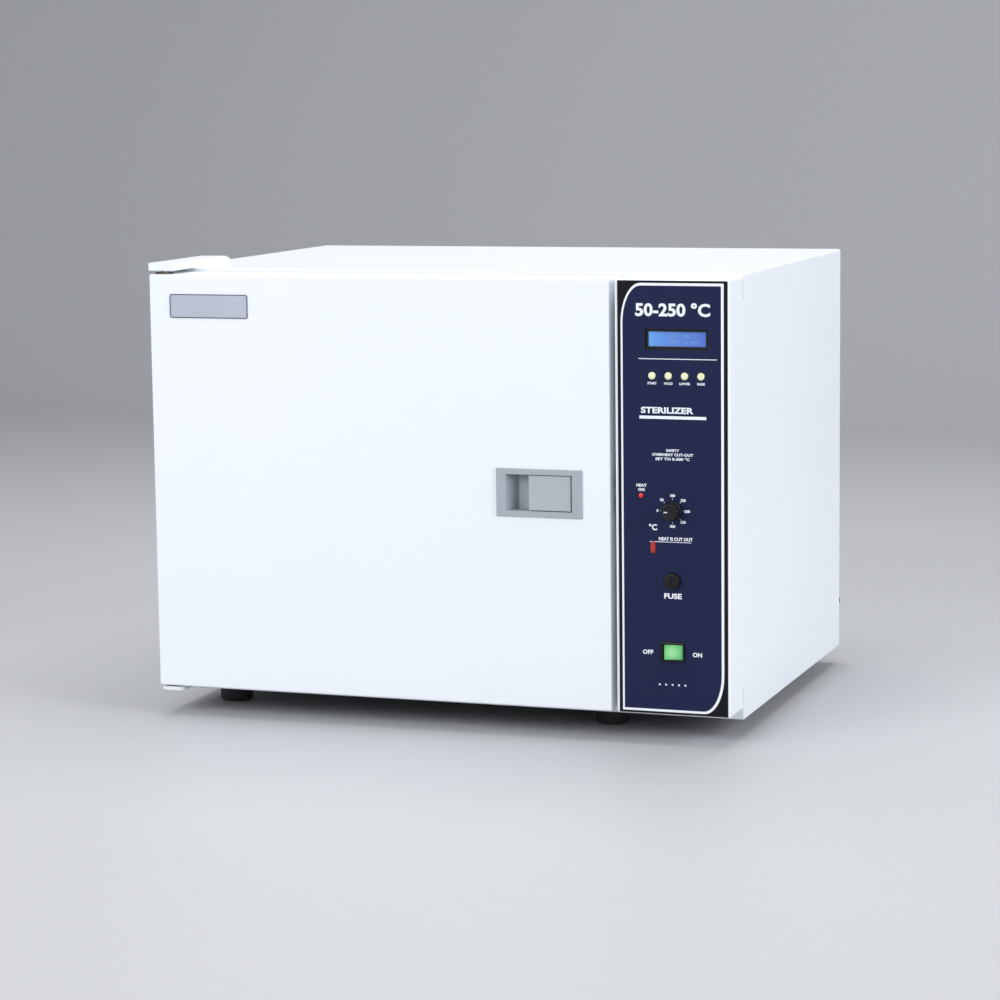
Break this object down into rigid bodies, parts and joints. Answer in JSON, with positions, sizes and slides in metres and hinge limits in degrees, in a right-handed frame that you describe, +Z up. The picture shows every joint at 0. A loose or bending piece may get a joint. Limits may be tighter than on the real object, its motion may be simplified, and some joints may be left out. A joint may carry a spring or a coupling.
{
  "type": "bench-top hot-air medical sterilizer",
  "caption": "White bench-top hot-air sterilizer with a left-hung insulated door, recessed paddle latch, stainless shelved chamber and a narrow control panel.",
  "frame": {"origin": "on the bench, under the middle of the whole object", "axes": "+X to the right and +Y to the back as seen by a user in front, +Z up; the door faces -Y"},
  "size_m": [0.666, 0.5442, 0.5105],
  "materials": {
    "white_paint": "semi-gloss powder coat",
    "zinc_sheet": "zinc plated",
    "stainless_sheet": "fine brushed",
    "shelf_wire": "polished wire",
    "element_sheath": "heat darkened sheath",
    "sensor_steel": "plain",
    "mineral_wool": "pressed fibre",
    "screw_steel": "plain",
    "bronze": "sintered",
    "black_rubber": "matt",
    "seal_silicone": "matt silicone",
    "grey_plastic": "fine grain",
    "paddle_grey": "fine grain",
    "badge_metal": "brushed",
    "panel_print": "printed polyester",
    "black_plastic": "moulded",
    "switch_plastic": "moulded",
    "display_blue": "backlit display",
    "circuit_board": "solder mask",
    "post_plastic": "nylon",
    "key_cap": "moulded",
    "red_lens": "translucent",
    "green_lens": "translucent, lit",
    "thermostat_can": "moulded"
  },
  "bodies": {
    "root": {"outer_casing": "white_paint", "back_panel": "white_paint", "front_frame": "white_paint", "control_box": "white_paint", "upper_hinge_arm": "white_paint", "lower_hinge_arm": "white_paint", "base_pan": "zinc_sheet", "divider_wall": "zinc_sheet", "strike_plate": "zinc_sheet", "chamber_liner": "stainless_sheet", "floor_plate": "stainless_sheet", "left_runner": "stainless_sheet", "right_runner": "stainless_sheet", "exhaust_tube": "stainless_sheet", "lower_shelf": "shelf_wire", "upper_shelf": "shelf_wire", "heating_element": "element_sheath", "element_bracket": "element_sheath", "temperature_probe": "sensor_steel", "limit_bulb": "sensor_steel", "chamber_insulation": "mineral_wool", "foot_screws": "screw_steel", "back_screws": "screw_steel", "hinge_screws": "screw_steel", "upper_hinge_pin": "screw_steel", "lower_hinge_pin": "screw_steel", "feet": "black_rubber", "rear_bumpers": "black_rubber", "control_overlay": "panel_print", "display_frame": "black_plastic", "fuse_holder": "black_plastic", "power_inlet": "black_plastic", "key_switches": "black_plastic", "switch_frame": "switch_plastic", "display_glass": "display_blue", "control_board": "circuit_board", "board_posts": "post_plastic", "heating_lamp": "red_lens", "limit_lamp": "red_lens", "thermostat_body": "thermostat_can", "power_module": "thermostat_can"},
    "door": {"door_shell": "white_paint", "door_inner_pan": "stainless_sheet", "door_seal": "seal_silicone", "door_insulation": "mineral_wool", "hinge_bushes": "bronze", "handle_cup": "grey_plastic", "paddle_pin": "screw_steel", "bolt_guide": "zinc_sheet", "badge_plate": "badge_metal"},
    "latch_paddle": {"handle_paddle": "paddle_grey"},
    "latch_bar": {"latch_bolt": "screw_steel"},
    "first_key": {"key_1": "key_cap"},
    "second_key": {"key_2": "key_cap"},
    "third_key": {"key_3": "key_cap"},
    "fourth_key": {"key_4": "key_cap"},
    "limit_knob": {"thermostat_knob": "black_plastic", "thermostat_shaft": "screw_steel"},
    "fuse_carrier": {"fuse_cap": "black_plastic"},
    "power_rocker": {"switch_rocker": "green_lens"}
  },
  "joints": [
    {"name": "door_hinge", "type": "hinge", "parent": "root", "child": "door", "pos_m": [-0.32, -0.2449, 0.266], "axis": [0, 0, -1], "range_deg": [0, 170]},
    {"name": "paddle_pivot", "type": "hinge", "parent": "door", "child": "latch_paddle", "pos_m": [0.155, -0.2539, 0.268], "axis": [0, 0, 1], "range_deg": [0, 25], "stiffness_Nm_per_rad": 0.05},
    {"name": "bolt_slide", "type": "slide", "parent": "door", "child": "latch_bar", "axis": [-1, 0, 0], "range_m": [0, 0.0097]},
    {"name": "first_key_press", "type": "slide", "parent": "root", "child": "first_key", "axis": [0, 1, 0], "range_m": [0, 0.0012], "stiffness_N_per_m": 300},
    {"name": "second_key_press", "type": "slide", "parent": "root", "child": "second_key", "axis": [0, 1, 0], "range_m": [0, 0.0012], "stiffness_N_per_m": 300},
    {"name": "third_key_press", "type": "slide", "parent": "root", "child": "third_key", "axis": [0, 1, 0], "range_m": [0, 0.0012], "stiffness_N_per_m": 300},
    {"name": "fourth_key_press", "type": "slide", "parent": "root", "child": "fourth_key", "axis": [0, 1, 0], "range_m": [0, 0.0012], "stiffness_N_per_m": 300},
    {"name": "knob_turn", "type": "hinge", "parent": "root", "child": "limit_knob", "pos_m": [0.27025, -0.2655, 0.254], "axis": [0, 1, 0], "range_deg": [0, 270]},
    {"name": "fuse_cap_turn", "type": "hinge", "parent": "root", "child": "fuse_carrier", "pos_m": [0.27025, -0.2615, 0.179], "axis": [0, -1, 0], "range_deg": [0, 90]},
    {"name": "rocker_tilt", "type": "hinge", "parent": "root", "child": "power_rocker", "pos_m": [0.27025, -0.2534, 0.1025], "axis": [0, 0, -1], "range_deg": [0, 20]}
  ],
  "couplings": [
    {"joint": "bolt_slide", "follows": "paddle_pivot", "m_per_rad": 0.022}
  ]
}
